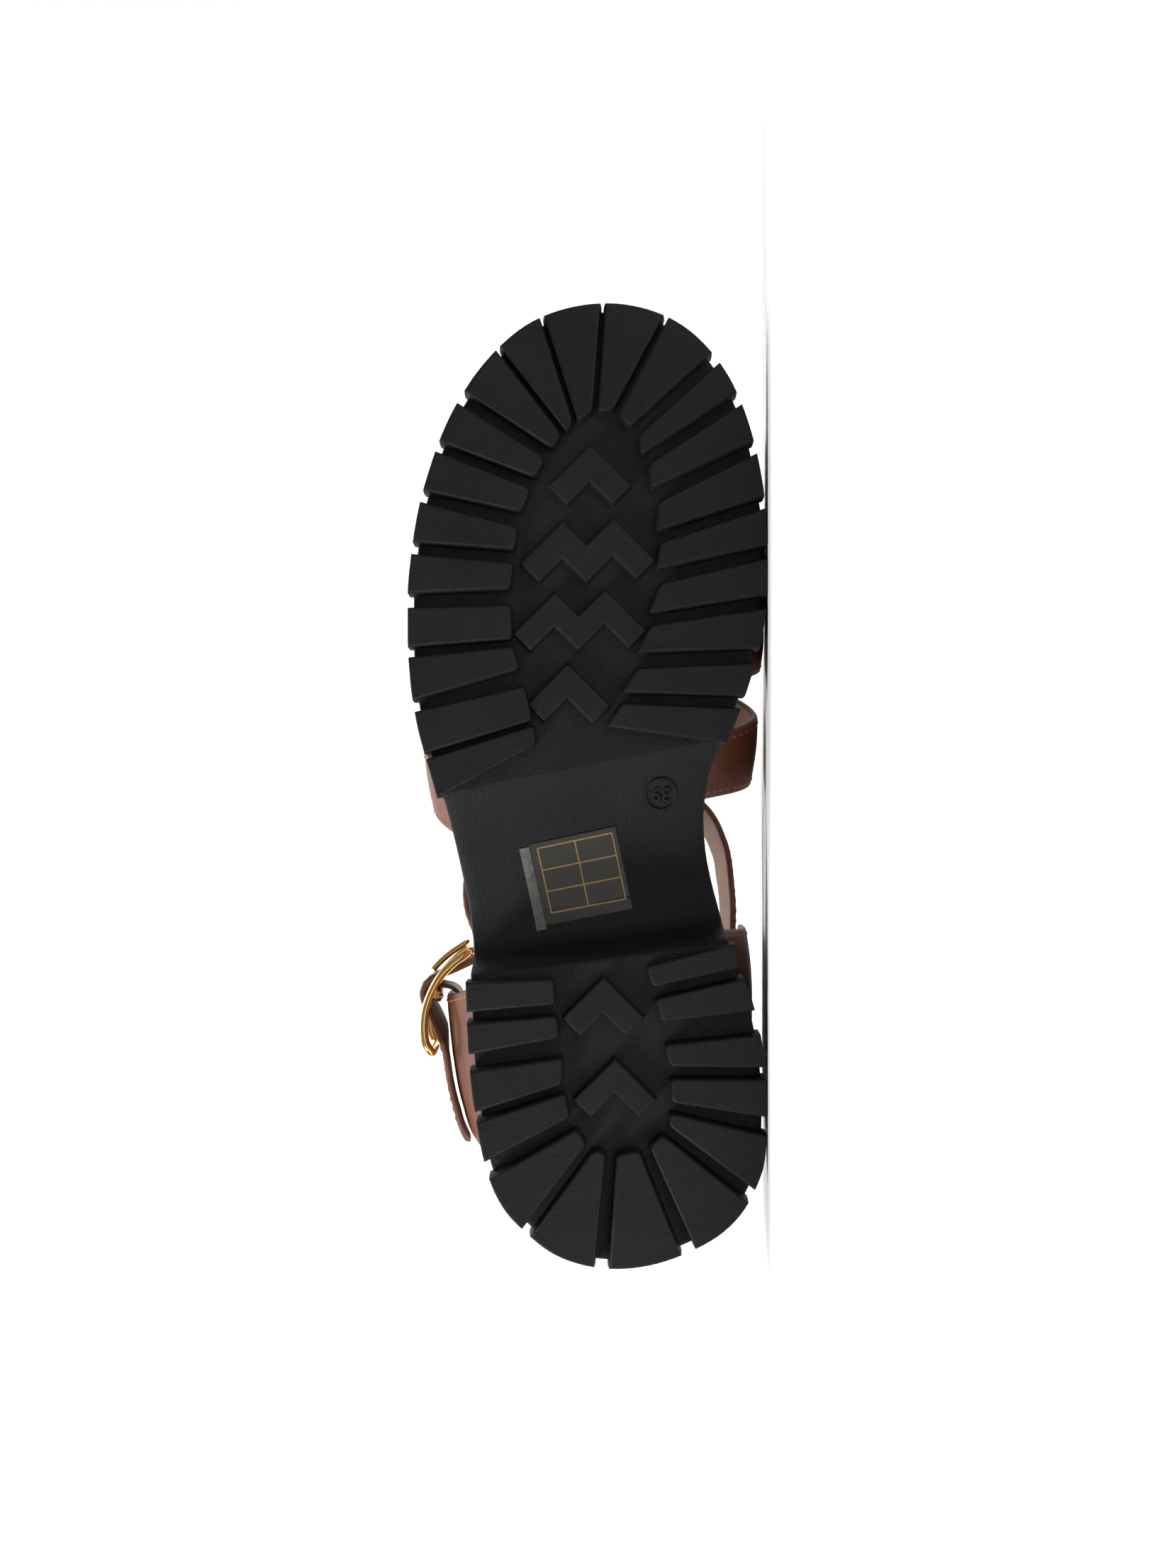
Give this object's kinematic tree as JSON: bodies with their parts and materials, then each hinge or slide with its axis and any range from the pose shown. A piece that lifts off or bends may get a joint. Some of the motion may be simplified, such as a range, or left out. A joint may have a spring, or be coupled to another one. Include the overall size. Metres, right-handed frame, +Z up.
{
  "type": "strappy sandal",
  "caption": "Lug-sole leather sandal with wide front band, instep strap, closed heel counter and buckled ankle strap; it holds a foot on a deep-cleated platform sole.",
  "frame": {"origin": "centre of the bottom of the bounding box, on the floor that the shoe lies on", "axes": "+X from heel to toe; the tread faces -Y, leaning a few degrees with the roll of the shoe; +Z up, from the medial to the lateral side, because the shoe lies on its medial side"},
  "size_m": [0.271, 0.123, 0.1118],
  "materials": {
    "sole_rubber": "matt moulded rubber with a fine pebbled skin",
    "footbed_leather": "smooth lining leather over a cushioned insole",
    "upper_leather": "smooth brown leather with soft sheen, dark cut edges",
    "buckle_metal": "polished gold plating"
  },
  "bodies": {
    "root": {"outsole": "sole_rubber", "footbed": "footbed_leather", "front_band": "upper_leather", "instep_strap": "upper_leather", "heel_counter": "upper_leather", "ankle_strap": "upper_leather", "buckle_tab": "upper_leather", "buckle_frame": "buckle_metal", "buckle_prong": "buckle_metal"}
  },
  "joints": []
}
